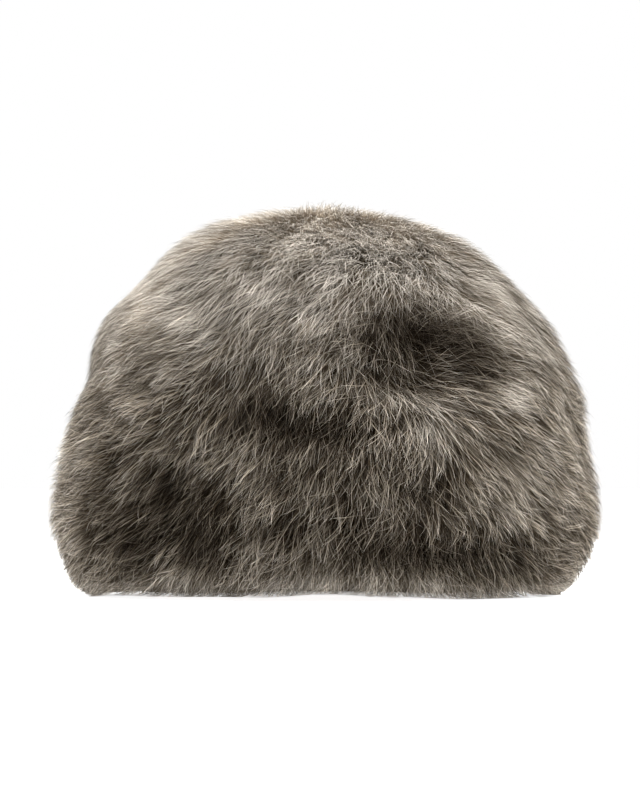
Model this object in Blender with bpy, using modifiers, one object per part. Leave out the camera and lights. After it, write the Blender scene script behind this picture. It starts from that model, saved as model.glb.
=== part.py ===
"""A round fur hat: two sewn pelts with their leather side inwards and a deep pile outside.

Metres, +Z up. The front faces -Y and the hem rests on z = 0. A heading runs round the hat:
0 is the front, 90 degrees is +X, and 180 the back.
"""

import math
import random
from collections import namedtuple

import bmesh
import bpy
import numpy as np
from mathutils import Vector

# Driving dimensions
HALF_WIDTH = 0.1250
HALF_DEPTH = 0.1438
HEAD_HALF_WIDTH = 0.0840
HEAD_HALF_DEPTH = 0.1010
SKIN_THICKNESS = 0.0016
LOCK_PROUD = 0.0028
CLEARANCE = 0.0004
HEM_TRIM = 0.0020
SEAM_HEIGHT = 0.1180
SEAM_FALL = 0.0060
SEAM_ROUNDING = 0.0045
FURROW_DEPTH = 0.0060
FURROW_FALL = 0.0150

PILE_RATIO = HALF_DEPTH / HALF_WIDTH
SKIN_RATIO = HEAD_HALF_DEPTH / HEAD_HALF_WIDTH
INNER_POINT = Vector((0.0, 0.0, 0.055))
SEAM_MOUTH_HEIGHT = SEAM_HEIGHT - SEAM_FALL
SEAM_GAP = 0.0016
HALF_GAP = np.array((0.0, 0.5 * SEAM_GAP))

# How finely the turned forms are divided
ROUND_STEPS = 36
SKIN_CROWN_POINTS = 7
SKIN_BAND_POINTS = 5
PILE_CROWN_POINTS = 9
PILE_BAND_POINTS = 9
MERGE_DISTANCE = 0.00001

Ring = namedtuple("Ring", "height reach")

# The pile's outline from the front, with the tips of the locks, from the top down.
PILE_OUTLINE = (
    Ring(0.1750, 0.0000),
    Ring(0.1728, 0.0270),
    Ring(0.1641, 0.0540),
    Ring(0.1503, 0.0768),
    Ring(0.1365, 0.0906),
    Ring(0.1180, 0.1035),
    Ring(0.0996, 0.1113),
    Ring(0.0765, 0.1185),
    Ring(0.0535, 0.1236),
    Ring(0.0373, HALF_WIDTH),
    Ring(0.0212, 0.1220),
    Ring(0.0090, 0.1188),
    Ring(0.0000, 0.1150),
)

# The outer side of the sewn pelts, from the top down to the hem.
SKIN_OUTLINE = (
    Ring(0.1500, 0.0000),
    Ring(0.1490, 0.0240),
    Ring(0.1450, 0.0450),
    Ring(0.1365, 0.0640),
    Ring(0.1270, 0.0760),
    Ring(0.1180, 0.0830),
    Ring(0.0950, 0.0885),
    Ring(0.0600, 0.0900),
    Ring(0.0250, 0.0870),
    Ring(0.0000, HEAD_HALF_WIDTH),
)

# Hollows and creases: where they lie, how far they spread to each side, and their depth.
Dent = namedtuple("Dent", "heading height half_length half_height tilt depth")
DENTS = (
    Dent(27, 0.108, 0.034, 0.0140, 4, 0.0130),
    Dent(-2, 0.080, 0.028, 0.0095, 0, 0.0070),
    Dent(-24, 0.098, 0.038, 0.0070, 24, 0.0042),
    Dent(-36, 0.035, 0.026, 0.0200, 0, 0.0055),
    Dent(33, 0.021, 0.042, 0.0085, 0, 0.0060),
    Dent(78, 0.088, 0.034, 0.0120, -10, 0.0050),
    Dent(112, 0.040, 0.030, 0.0140, 8, 0.0040),
    Dent(152, 0.104, 0.036, 0.0110, 6, 0.0060),
    Dent(176, 0.046, 0.040, 0.0120, -4, 0.0040),
    Dent(214, 0.090, 0.034, 0.0110, -12, 0.0050),
    Dent(246, 0.034, 0.030, 0.0120, 6, 0.0042),
    Dent(274, 0.098, 0.030, 0.0100, 12, 0.0040),
)
SKIN_DENT_SHARE = 0.15
HEM_LIFT = 0.0050
HEM_LIFT_HALF_WIDTH = 0.050
HEM_LIFT_HEIGHT = 0.040

# Rows of locks: the height at their middle, how many go round, their length and width, and
# whether their tips hang free over the seam.
LockRow = namedtuple("LockRow", "height count length width free_tips")
CROWN_ROWS = (
    LockRow(0.1700, 6, 0.032, 0.0200, False),
    LockRow(0.1610, 10, 0.036, 0.0230, False),
    LockRow(0.1450, 14, 0.036, 0.0250, False),
    LockRow(0.1225, 16, 0.033, 0.0270, True),
)
BAND_ROWS = (
    LockRow(0.0865, 20, 0.036, 0.0260, False),
    LockRow(0.0580, 20, 0.040, 0.0280, False),
    LockRow(0.0320, 20, 0.040, 0.0280, False),
    LockRow(0.0100, 20, 0.034, 0.0280, False),
)
LOCK_THICKNESS = 0.0085
LOCK_SINK = 0.0036
LOCK_TAPER = 0.22
LOCK_CURL = 1.4
LOCK_SIDES = 5
LOCK_RINGS = 4
LEAN_SPREAD = 26.0
SWIRL = 9.0
SIZE_SPREAD = 0.12
PLACE_SPREAD = 0.16
SEED = 4

# The rounded edge of a pile at the seam: its steps in from the surface and away from the seam.
EdgeStep = namedtuple("EdgeStep", "inwards away")
SEAM_EDGE = (EdgeStep(0.16, 0.42), EdgeStep(0.48, 0.12), EdgeStep(1.00, 0.00))

Finish = namedtuple("Finish", "name colour roughness")
PILE_FINISH = Finish("grey_brown_pile", (0.150, 0.120, 0.092), 0.75)
SKIN_FINISH = Finish("tanned_skin", (0.420, 0.280, 0.170), 0.80)


def clear_scene():
    """Remove whatever the scene holds."""
    for thing in list(bpy.data.objects):
        bpy.data.objects.remove(thing, do_unlink=True)


def make_collection(name):
    """Add a collection to the scene."""
    group = bpy.data.collections.new(name)
    bpy.context.scene.collection.children.link(group)
    return group


def make_material(finish):
    """A plain Principled surface in the colour of one finish."""
    material = bpy.data.materials.new(finish.name)
    material.use_nodes = True
    shader = material.node_tree.nodes["Principled BSDF"]
    shader.inputs["Base Color"].default_value = (*finish.colour, 1.0)
    shader.inputs["Roughness"].default_value = finish.roughness
    shader.inputs["Metallic"].default_value = 0.0
    material.diffuse_color = (*finish.colour, 1.0)
    return material


def smooth_line(rings, per_span=12):
    """Sample a smooth curve from the top ring to the hem, as rows of reach and height."""
    points = np.array([(ring.reach, ring.height) for ring in rings])
    over_the_top = points[1] * (-1.0, 1.0)
    past_the_hem = 2.0 * points[-1] - points[-2]
    padded = np.vstack((over_the_top, points, past_the_hem))
    steps = np.arange(per_span)[:, None] / per_span
    spans = []
    for start in range(len(points) - 1):
        p0, p1, p2, p3 = padded[start : start + 4]
        bend = 2.0 * p0 - 5.0 * p1 + 4.0 * p2 - p3
        twist = 3.0 * p1 - p0 - 3.0 * p2 + p3
        spans.append(0.5 * (2.0 * p1 + (p2 - p0) * steps + bend * steps**2 + twist * steps**3))
    return np.vstack(spans + [points[-1:]])


def inset_line(line, depth):
    """Move a line of reach and height inwards by a depth, square to itself."""
    slope = np.gradient(line, axis=0)
    slope /= np.linalg.norm(slope, axis=1)[:, None]
    inwards = np.stack((slope[:, 1], -slope[:, 0]), axis=1)
    moved = line + inwards * depth
    moved[0, 0] = 0.0
    moved[:, 0] = np.maximum(moved[:, 0], 0.0)
    return moved


def run_along(line):
    """The distance run along a line to each of its points."""
    return np.concatenate(((0.0,), np.cumsum(np.linalg.norm(np.diff(line, axis=0), axis=1))))


BODY_LINE = inset_line(smooth_line(PILE_OUTLINE), LOCK_PROUD)
BODY_RUN = run_along(BODY_LINE)
SKIN_LINE = smooth_line(SKIN_OUTLINE)


def ray_table(line):
    """The distance of a line from the inner point, against the angle it is seen at."""
    below = line[-1] - (0.0, 0.030)
    whole = np.vstack((line, below))
    angle = np.arctan2(whole[:, 1] - INNER_POINT.z, whole[:, 0])
    distance = np.hypot(whole[:, 0], whole[:, 1] - INNER_POINT.z)
    order = np.argsort(angle)
    return angle[order], distance[order]


PILE_RAYS = ray_table(BODY_LINE)
SKIN_RAYS = ray_table(SKIN_LINE)


def pile_share(reach, height):
    """0 on the skin, 1 on the pile's surface, from a point's place between the two."""
    angle = math.atan2(height - INNER_POINT.z, reach)
    distance = math.hypot(reach, height - INNER_POINT.z)
    skin = float(np.interp(angle, *SKIN_RAYS))
    pile = float(np.interp(angle, *PILE_RAYS))
    return min(max((distance - skin) / (pile - skin), 0.0), 1.0)


def dent_depth(heading, height):
    """How far the pile is pressed in at a heading and height, all hollows together."""
    depth = 0.0
    for dent in DENTS:
        turn = math.remainder(heading - math.radians(dent.heading), math.tau)
        across = turn * HALF_WIDTH
        up = height - dent.height
        tilt = math.radians(dent.tilt)
        along = across * math.cos(tilt) + up * math.sin(tilt)
        over = up * math.cos(tilt) - across * math.sin(tilt)
        spread = (along / dent.half_length) ** 2 + (over / dent.half_height) ** 2
        depth += dent.depth * math.exp(-spread)
    return depth


def hem_lift(x, y, height):
    """How far the middle of the front hem arches off the floor."""
    if y > 0.0:
        return 0.0
    across = math.exp(-((x / HEM_LIFT_HALF_WIDTH) ** 2))
    return HEM_LIFT * across * max(0.0, 1.0 - max(height, 0.0) / HEM_LIFT_HEIGHT) ** 2


def settle(heading, reach, height):
    """Put a point of the turned form in its place on the oval, dented hat."""
    share = pile_share(reach, height)
    ratio = SKIN_RATIO + (PILE_RATIO - SKIN_RATIO) * share
    point = Vector((reach * math.sin(heading), -reach * math.cos(heading) * ratio, height))
    strength = SKIN_DENT_SHARE + (1.0 - SKIN_DENT_SHARE) * share
    press = dent_depth(heading, height) * strength
    point += (INNER_POINT - point).normalized() * press
    point.z += hem_lift(point.x, point.y, point.z)
    return point


def settle_mesh(mesh):
    """Move every vertex of a turned mesh to its place on the hat."""
    for vert in mesh.vertices:
        heading = math.atan2(vert.co.x, -vert.co.y)
        vert.co = settle(heading, math.hypot(vert.co.x, vert.co.y), vert.co.z)
    mesh.update()


def turn_profile(name, profile, group):
    """Turn a closed profile of reach and height about Z, and settle it as one object."""
    outline = bpy.data.meshes.new(name)
    edges = [(i, (i + 1) % len(profile)) for i in range(len(profile))]
    if max(profile[0][0], profile[-1][0]) < MERGE_DISTANCE:
        edges.pop()
    outline.from_pydata([(reach, 0.0, height) for reach, height in profile], edges, [])
    thing = bpy.data.objects.new(name, outline)
    group.objects.link(thing)
    screw = thing.modifiers.new("turn", "SCREW")
    screw.axis = "Z"
    screw.steps = ROUND_STEPS
    screw.render_steps = ROUND_STEPS
    screw.use_merge_vertices = True
    screw.merge_threshold = MERGE_DISTANCE
    bake_modifiers(thing)
    settle_mesh(thing.data)
    return thing


def bake_modifiers(thing):
    """Replace an object's mesh by its evaluated mesh."""
    graph = bpy.context.evaluated_depsgraph_get()
    graph.update()
    mesh = bpy.data.meshes.new_from_object(thing.evaluated_get(graph))
    thing.modifiers.clear()
    thing.data = mesh


def stretch_of(line, top, bottom, count, depth=0.0):
    """Evenly spaced points between two heights of a line, moved inwards by a depth."""
    run = run_along(line)
    ends = np.interp((-top, -bottom), -line[:, 1], run)
    moved = inset_line(line, depth)
    return [
        np.array((np.interp(stop, run, moved[:, 0]), np.interp(stop, run, moved[:, 1])))
        for stop in np.linspace(ends[0], ends[1], count)
    ]


def over_crown(depth):
    """Points on the crown's pelt, from the top to the seam."""
    return stretch_of(SKIN_LINE, SKIN_LINE[0][1], SEAM_HEIGHT + CLEARANCE, SKIN_CROWN_POINTS, depth)


def over_band(depth):
    """Points on the band's pelt, from the seam to the hem."""
    return stretch_of(SKIN_LINE, SEAM_HEIGHT, 0.0, SKIN_BAND_POINTS, depth)


def skin_profile(over):
    """A pelt's wall, down its outer side and back up its inner side."""
    return over(0.0) + over(SKIN_THICKNESS)[::-1]


def in_furrow(points):
    """Draw the top of the band's pile in under the crown's."""
    drawn = []
    for reach, height in points:
        share = min(max(1.0 - (SEAM_MOUTH_HEIGHT - height) / FURROW_FALL, 0.0), 1.0)
        drawn.append(np.array((reach - FURROW_DEPTH * share**2, height)))
    return drawn


def seam_mouth():
    """Where the seam between the two piles comes out on the pile's surface."""
    reach = np.interp(-SEAM_MOUTH_HEIGHT, -BODY_LINE[:, 1], BODY_LINE[:, 0])
    return np.array((reach, SEAM_MOUTH_HEIGHT))


def turned_edge(mouth, inwards, up):
    """The pile's rounded edge, from its surface in towards the seam."""
    return [
        mouth + SEAM_ROUNDING * (inwards * step.inwards + np.array((0.0, up * step.away)))
        for step in SEAM_EDGE
    ]


def crown_fur_profile():
    """The crown's pile, from the top to its edge over the seam, and back along the skin."""
    back = over_crown(-CLEARANCE)[::-1]
    back[0] = back[0] + 2.0 * HALF_GAP
    mouth = seam_mouth()
    inwards = (back[0] - mouth) / np.linalg.norm(back[0] - mouth)
    down = stretch_of(BODY_LINE, BODY_LINE[0][1], mouth[1] + SEAM_ROUNDING, PILE_CROWN_POINTS)
    return down + turned_edge(mouth + HALF_GAP, inwards, 1.0) + back


def band_fur_profile():
    """The band's pile, from its rounded top edge to the hem, and back along the skin."""
    back = over_band(-CLEARANCE)[::-1]
    mouth = seam_mouth()
    inwards = (back[-1] - mouth) / np.linalg.norm(back[-1] - mouth)
    down = stretch_of(BODY_LINE, mouth[1] - SEAM_ROUNDING, 0.0, PILE_BAND_POINTS)
    foot = down[-1] - np.array((0.5 * HEM_TRIM, HEM_TRIM))
    heel = np.array((back[0][0], -HEM_TRIM))
    edge = turned_edge(mouth - HALF_GAP, inwards, -1.0)[::-1]
    return in_furrow(edge + down) + [foot, heel] + back


def on_surface(heading, run):
    """A point on the pile's surface, by its run down from the top and on past the hem."""
    reach = float(np.interp(run, BODY_RUN, BODY_LINE[:, 0]))
    height = float(np.interp(run, BODY_RUN, BODY_LINE[:, 1]))
    past_hem = max(run - BODY_RUN[-1], 0.0)
    return settle(heading, max(reach, MERGE_DISTANCE), height - past_hem)


def raised_point(heading, run, proud):
    """A point raised square to the pile's surface."""
    step = 0.0015
    here = on_surface(heading, run)
    below = on_surface(heading, run + step)
    beside = on_surface(heading + step / HALF_WIDTH, run)
    square = (beside - here).cross(here - below).normalized()
    if square.dot(here - INNER_POINT) < 0.0:
        square.negate()
    return here + square * proud


def add_lock(mesh, heading, run, lean, row, rng):
    """Add one tapering lock, rooted in the pile, that lies along it and rises to its tip."""
    girth = float(np.interp(run, BODY_RUN, BODY_LINE[:, 0])) * 0.5 * (1.0 + PILE_RATIO)
    length = row.length * spread(rng, SIZE_SPREAD)
    width = row.width * spread(rng, SIZE_SPREAD)
    proud = LOCK_PROUD * spread(rng, SIZE_SPREAD) + LOCK_SINK
    spindle = bmesh.ops.create_uvsphere(
        mesh, u_segments=LOCK_SIDES, v_segments=LOCK_RINGS, radius=1.0
    )
    for vert in spindle["verts"]:
        along, across, out = -vert.co.z, -vert.co.x, vert.co.y
        taper = 1.0 - LOCK_TAPER * along
        forward = along * length * 0.5
        sideways = across * width * 0.5 * taper
        drop = run + forward * math.cos(lean) - sideways * math.sin(lean)
        turn = heading + (forward * math.sin(lean) + sideways * math.cos(lean)) / girth
        rise = proud * (0.5 + 0.5 * along) ** LOCK_CURL - LOCK_SINK
        rooted = out < 0.0 and not (row.free_tips and along > 0.5)
        lift = (-LOCK_SINK if rooted else rise) + out * LOCK_THICKNESS * 0.5 * taper
        vert.co = raised_point(turn, drop, lift)


def spread(rng, share):
    """A factor near one, up to a share more or less."""
    return 1.0 + rng.uniform(-share, share)


def make_locks(name, rows, group, rng):
    """All the locks of one pile, in staggered rows, as one helper."""
    mesh = bmesh.new()
    for index, row in enumerate(rows):
        run = float(np.interp(-row.height, -BODY_LINE[:, 1], BODY_RUN))
        for place in range(row.count):
            stagger = 0.5 * (index % 2) + rng.uniform(-PLACE_SPREAD, PLACE_SPREAD)
            heading = math.tau * (place + stagger) / row.count
            lean = math.radians(SWIRL + rng.uniform(-LEAN_SPREAD, LEAN_SPREAD))
            drop = run + rng.uniform(-SIZE_SPREAD, SIZE_SPREAD) * row.length
            add_lock(mesh, heading, drop, lean, row, rng)
    return mesh_helper(name, mesh, group)


def mesh_helper(name, mesh, group):
    """Turn a finished bmesh into a helper object."""
    data = bpy.data.meshes.new(name)
    mesh.to_mesh(data)
    mesh.free()
    return add_helper(name, data, group)


def add_helper(name, data, group):
    """Put a shape that only joins or cuts in the helpers' collection."""
    helper = bpy.data.objects.new(name, data)
    helper.display_type = "WIRE"
    helper.hide_render = True
    group.objects.link(helper)
    return helper


def make_floor_cutter(group):
    """The block under the floor that trims the hem flat."""
    mesh = bmesh.new()
    bmesh.ops.create_cube(mesh, size=1.0)
    bmesh.ops.scale(mesh, vec=(0.5, 0.5, 0.1), verts=mesh.verts)
    bmesh.ops.translate(mesh, vec=(0.0, 0.0, -0.05), verts=mesh.verts)
    return mesh_helper("floor_cutter", mesh, group)


def add_boolean(thing, helper, operation, solver):
    """Join a helper to an object or cut it away."""
    boolean = thing.modifiers.new(helper.name, "BOOLEAN")
    boolean.operation = operation
    boolean.solver = solver
    boolean.use_self = operation == "UNION"
    boolean.object = helper


def island_of(start):
    """The vertices that hang together with one."""
    found = {start}
    waiting = [start]
    while waiting:
        for edge in waiting.pop().link_edges:
            for vert in edge.verts:
                if vert not in found:
                    found.add(vert)
                    waiting.append(vert)
    return found


def keep_main_body(thing):
    """Apply an object's modifiers and drop the crumbs that the joining leaves between locks."""
    bake_modifiers(thing)
    mesh = bmesh.new()
    mesh.from_mesh(thing.data)
    unseen = set(mesh.verts)
    islands = []
    while unseen:
        islands.append(island_of(next(iter(unseen))))
        unseen -= islands[-1]
    main = max(islands, key=len)
    bmesh.ops.delete(mesh, geom=[vert for vert in mesh.verts if vert not in main], context="VERTS")
    mesh.to_mesh(thing.data)
    mesh.free()


def dress(thing, material):
    """Give an object its material and smooth shading."""
    thing.data.materials.clear()
    thing.data.materials.append(material)
    thing.data.shade_smooth()
    thing.data.set_sharp_from_angle(angle=math.radians(50.0))


def main():
    """Build the hat."""
    clear_scene()
    rng = random.Random(SEED)
    hat = make_collection("round_fur_hat")
    helpers = make_collection("helpers")
    pile = make_material(PILE_FINISH)
    skin = make_material(SKIN_FINISH)
    crown_skin = turn_profile("crown_skin", skin_profile(over_crown), hat)
    band_skin = turn_profile("band_skin", skin_profile(over_band), hat)
    crown_fur = turn_profile("crown_fur", crown_fur_profile(), hat)
    band_fur = turn_profile("band_fur", band_fur_profile(), hat)
    for fur, rows in ((crown_fur, CROWN_ROWS), (band_fur, BAND_ROWS)):
        add_boolean(fur, make_locks(f"{fur.name}_locks", rows, helpers, rng), "UNION", "EXACT")
    add_boolean(band_fur, make_floor_cutter(helpers), "DIFFERENCE", "MANIFOLD")
    for fur in (crown_fur, band_fur):
        keep_main_body(fur)
        dress(fur, pile)
    for pelt in (crown_skin, band_skin):
        dress(pelt, skin)


main()
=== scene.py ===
"""The look of a round fur hat: a deep grey-brown coat of hair over two leather pelts.

The coat grows on a turned form close to that of the hat's solids. Its outline is 1.2% taller, its
front hem arches less, and it has two bulges and some moved hollows of its own. A point of it is
first placed on a round hat, at a share of the pile's depth between the pelt and the hair tips, and
then settled: made oval, pressed in where the pile is dented, and lifted at the middle of the front
hem.
Metres, +Z up, and the front faces -Y. A heading runs round the hat: 0 is the front, 90 is +X.
"""

import logging
import math
from dataclasses import dataclass
from enum import Enum

import bpy
import numpy as np
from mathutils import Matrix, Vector, kdtree

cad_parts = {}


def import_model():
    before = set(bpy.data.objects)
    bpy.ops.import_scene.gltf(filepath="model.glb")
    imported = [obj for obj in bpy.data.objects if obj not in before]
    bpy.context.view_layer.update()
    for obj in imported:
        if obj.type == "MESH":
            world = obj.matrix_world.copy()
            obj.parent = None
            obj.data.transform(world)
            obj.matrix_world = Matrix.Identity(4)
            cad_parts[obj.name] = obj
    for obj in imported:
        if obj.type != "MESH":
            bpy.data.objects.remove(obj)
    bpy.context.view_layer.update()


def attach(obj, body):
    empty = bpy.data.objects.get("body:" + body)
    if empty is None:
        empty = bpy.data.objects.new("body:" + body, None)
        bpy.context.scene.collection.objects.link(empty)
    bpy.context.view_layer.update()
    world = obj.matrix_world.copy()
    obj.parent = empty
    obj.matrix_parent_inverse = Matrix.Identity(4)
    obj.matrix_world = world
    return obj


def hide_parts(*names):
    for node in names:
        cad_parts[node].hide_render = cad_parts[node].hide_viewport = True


LOG = logging.getLogger("fur_hat")


# Sizes


@dataclass(frozen=True)
class Ring:
    """One row of an outline: its height and how far it reaches from the middle."""

    height: float
    reach: float


@dataclass(frozen=True)
class Dent:
    """A hollow or crease pressed into the pile.

    Heading and tilt are in degrees, and the other fields in metres.
    """

    heading: float
    height: float
    half_length: float
    half_height: float
    tilt: float
    depth: float


@dataclass(frozen=True)
class HatSizes:
    """The hat's sizes. The outline and the dents are those of the hair tips, not of the solids."""

    half_width: float = 0.1250
    half_depth: float = 0.1438
    head_half_width: float = 0.0840
    head_half_depth: float = 0.1010
    skin_thickness: float = 0.0016
    skin_dent_share: float = 0.15
    seam_height: float = 0.1180
    seam_mouth_height: float = 0.1120
    half_seam_gap: float = 0.0008
    furrow_fall: float = 0.0150
    inner_height: float = 0.0550
    hem_lift: float = 0.0018
    hem_lift_half_width: float = 0.050
    hem_lift_height: float = 0.040
    clearance: float = 0.0004
    floor_clearance: float = 0.0004
    skin_hem: float = 0.0024
    undercoat_hem: float = 0.0026
    undercoat_top: float = 0.1750
    undercoat_share: float = 0.60
    undercoat_back_share: float = 0.02
    lowest_roots: float = 0.0018
    lump_cell: float = 0.030
    hair_lump: float = 0.0032
    wall_lump: float = 0.0022
    outline: tuple[Ring, ...] = (
        Ring(0.1771, 0.0000),
        Ring(0.1749, 0.0283),
        Ring(0.1661, 0.0540),
        Ring(0.1521, 0.0768),
        Ring(0.1381, 0.0906),
        Ring(0.1194, 0.1035),
        Ring(0.1008, 0.1113),
        Ring(0.0774, 0.1185),
        Ring(0.0541, 0.1236),
        Ring(0.0377, 0.1250),
        Ring(0.0215, 0.1220),
        Ring(0.0105, 0.1190),
        Ring(0.0036, 0.1140),
        Ring(0.0000, 0.1080),
    )
    pelt: tuple[Ring, ...] = (
        Ring(0.1500, 0.0000),
        Ring(0.1490, 0.0240),
        Ring(0.1450, 0.0450),
        Ring(0.1365, 0.0640),
        Ring(0.1270, 0.0760),
        Ring(0.1180, 0.0830),
        Ring(0.0950, 0.0885),
        Ring(0.0600, 0.0900),
        Ring(0.0250, 0.0870),
        Ring(0.0000, 0.0840),
    )
    dents: tuple[Dent, ...] = (
        # The front: the deep hollow, the crease, the shoulder's shadow, low left, low right
        Dent(27, 0.1057, 0.034, 0.0140, 4, 0.0130),
        Dent(-2, 0.0765, 0.028, 0.0095, 0, 0.0070),
        Dent(-24, 0.0954, 0.038, 0.0070, 24, 0.0042),
        Dent(-36, 0.0318, 0.026, 0.0200, 0, 0.0055),
        Dent(33, 0.0176, 0.042, 0.0085, 0, 0.0060),
        # The sides and the back, from the right round to the left
        Dent(112, 0.092, 0.034, 0.0120, -10, 0.0050),
        Dent(112, 0.040, 0.030, 0.0140, 8, 0.0040),
        Dent(152, 0.104, 0.036, 0.0110, 6, 0.0060),
        Dent(176, 0.046, 0.040, 0.0120, -4, 0.0040),
        Dent(214, 0.090, 0.034, 0.0110, -12, 0.0050),
        Dent(246, 0.034, 0.030, 0.0120, 6, 0.0042),
        Dent(274, 0.098, 0.030, 0.0100, 12, 0.0030),
        # Bulges at the right side and on the left shoulder
        Dent(90, 0.0957, 0.034, 0.0170, 0, -0.0045),
        Dent(-90, 0.160, 0.080, 0.0130, 0, -0.0022),
    )


# Form


def smooth_line(rings: tuple[Ring, ...], per_span: int = 12) -> np.ndarray:
    """Sample a smooth curve through an outline.

    Args:
        rings: The outline's rows, from the top down.
        per_span: Samples between two rows.

    Returns:
        Rows of reach and height.
    """
    points = np.array([(ring.reach, ring.height) for ring in rings])
    padded = np.vstack((points[1] * (-1.0, 1.0), points, 2.0 * points[-1] - points[-2]))
    steps = np.arange(per_span)[:, None] / per_span
    spans = []
    for start in range(len(points) - 1):
        p0, p1, p2, p3 = padded[start : start + 4]
        bend = 2.0 * p0 - 5.0 * p1 + 4.0 * p2 - p3
        twist = 3.0 * p1 - p0 - 3.0 * p2 + p3
        spans.append(0.5 * (2.0 * p1 + (p2 - p0) * steps + bend * steps**2 + twist * steps**3))
    return np.vstack(spans + [points[-1:]])


def run_along(line: np.ndarray) -> np.ndarray:
    """Measure a line.

    Args:
        line: Rows of reach and height.

    Returns:
        The distance run from the line's start to each row.
    """
    return np.concatenate(((0.0,), np.cumsum(np.linalg.norm(np.diff(line, axis=0), axis=1))))


def unit(vectors: np.ndarray) -> np.ndarray:
    """Scale vectors to length one.

    Args:
        vectors: Rows of vectors.

    Returns:
        The rows, each of length one.
    """
    return vectors / np.maximum(np.linalg.norm(vectors, axis=-1, keepdims=True), 1e-9)


class SmoothNoise:
    """A smooth random field in space, which repeats after a number of cells."""

    cells = 32

    def __init__(self, cell: float, seed: int) -> None:
        """Draw the field's values.

        Args:
            cell: The distance between its random values, in metres.
            seed: The seed of those values.
        """
        self.cell = cell
        self.values = np.random.default_rng(seed).uniform(-1.0, 1.0, (self.cells,) * 3)

    def at(self, points: np.ndarray) -> np.ndarray:
        """Read the field.

        Args:
            points: Rows of points in space.

        Returns:
            One value from -1 to 1 for each point.
        """
        place = points / self.cell
        low = np.floor(place).astype(int)
        part = place - low
        part = part * part * (3.0 - 2.0 * part)
        total = np.zeros(len(points))
        for corner in np.ndindex(2, 2, 2):
            weight = np.prod(np.where(corner, part, 1.0 - part), axis=1)
            x, y, z = ((low + corner) % self.cells).T
            total += weight * self.values[x, y, z]
        return total


class HatForm:
    """The hat's form: a round hat between pelt and hair tips, settled into the real one."""

    below_hem = 0.030
    probe = 0.0010

    def __init__(self, sizes: HatSizes) -> None:
        """Work out the form's lines.

        Args:
            sizes: The hat's sizes.
        """
        self.sizes = sizes
        self.outer = smooth_line(sizes.outline)
        self.pelt = smooth_line(sizes.pelt)
        self.run = run_along(self.outer)
        self.inner_point = np.array((0.0, 0.0, sizes.inner_height))
        self.outer_rays = self._rays(self.outer)
        self.pelt_rays = self._rays(self.pelt)
        self.lumps = SmoothNoise(sizes.lump_cell, seed=11)

    def _rays(self, line: np.ndarray) -> tuple[np.ndarray, np.ndarray]:
        """Measure a line from the inner point.

        Args:
            line: Rows of reach and height.

        Returns:
            The angles above the level that the line is seen at, and its distances there.
        """
        whole = np.vstack((line, line[-1] - (0.0, self.below_hem)))
        up = whole[:, 1] - self.sizes.inner_height
        angle = np.arctan2(up, whole[:, 0])
        order = np.argsort(angle)
        return angle[order], np.hypot(whole[:, 0], up)[order]

    def on_round(self, heading: np.ndarray, run: np.ndarray) -> np.ndarray:
        """Find points on the round hat's outer surface.

        Args:
            heading: Headings in radians.
            run: Distances run down the outline from the top.

        Returns:
            Rows of points.
        """
        reach = np.interp(run, self.run, self.outer[:, 0])
        height = np.interp(run, self.run, self.outer[:, 1])
        return np.stack((reach * np.sin(heading), -reach * np.cos(heading), height), axis=-1)

    def directions(self, points: np.ndarray) -> tuple[np.ndarray, np.ndarray, np.ndarray]:
        """Find the surface's own directions under points of the round hat.

        Args:
            points: Rows of points.

        Returns:
            The directions round the hat, down its outline, and out of it.
        """
        heading = np.arctan2(points[:, 0], -points[:, 1])
        run = np.interp(-points[:, 2], -self.outer[:, 1], self.run)
        below = self.on_round(heading, run + self.probe)
        above = self.on_round(heading, np.maximum(run - self.probe, 0))
        around = np.stack((np.cos(heading), np.sin(heading), np.zeros_like(heading)), axis=-1)
        down = unit(below - above)
        return around, down, np.cross(down, around)

    def snap(self, points: np.ndarray, share: np.ndarray) -> np.ndarray:
        """Move points along their rays to a share of the pile's depth.

        Args:
            points: Rows of points near the round hat's surface.
            share: 0 on the pelt, and 1 at the hair tips.

        Returns:
            The moved points.
        """
        away = points - self.inner_point
        reach = np.hypot(away[:, 0], away[:, 1])
        angle = np.arctan2(away[:, 2], reach)
        pelt = np.interp(angle, *self.pelt_rays)
        outer = np.interp(angle, *self.outer_rays)
        distance = pelt + (outer - pelt) * share
        scale = distance / np.hypot(away[:, 2], reach)
        return self.inner_point + away * scale[:, None]

    def dent_depth(self, heading: np.ndarray, height: np.ndarray) -> np.ndarray:
        """How far the pile is pressed in.

        Args:
            heading: Headings in radians.
            height: Heights on the round hat.

        Returns:
            Depths in metres, all hollows together.
        """
        depth = np.zeros_like(heading)
        for dent in self.sizes.dents:
            depth += dent.depth * patch_weight(heading, height, dent, self.sizes.half_width)
        return depth

    def settle(self, points: np.ndarray, share: np.ndarray, lump: float = 0.0) -> np.ndarray:
        """Put points of the round hat in their places on the real one.

        Args:
            points: Rows of points.
            share: Each point's share of the pile's depth.
            lump: How far soft lumps raise or lower the hair tips.

        Returns:
            The settled points.
        """
        sizes = self.sizes
        inside = np.clip(share, 0.0, 1.0)
        pile_ratio = sizes.half_depth / sizes.half_width
        skin_ratio = sizes.head_half_depth / sizes.head_half_width
        heading = np.arctan2(points[:, 0], -points[:, 1])
        placed = points.copy()
        placed[:, 1] *= skin_ratio + (pile_ratio - skin_ratio) * inside
        strength = sizes.skin_dent_share + (1.0 - sizes.skin_dent_share) * inside
        press = self.dent_depth(heading, points[:, 2]) * strength
        if lump:
            press = press - lump * self.lumps.at(points) * inside
        placed += unit(self.inner_point - placed) * press[:, None]
        across = np.exp(-((placed[:, 0] / sizes.hem_lift_half_width) ** 2))
        near = np.clip(1.0 - np.maximum(placed[:, 2], 0.0) / sizes.hem_lift_height, 0.0, 1.0)
        placed[:, 2] += np.where(placed[:, 1] > 0.0, 0.0, sizes.hem_lift * across * near**2)
        return placed


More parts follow.
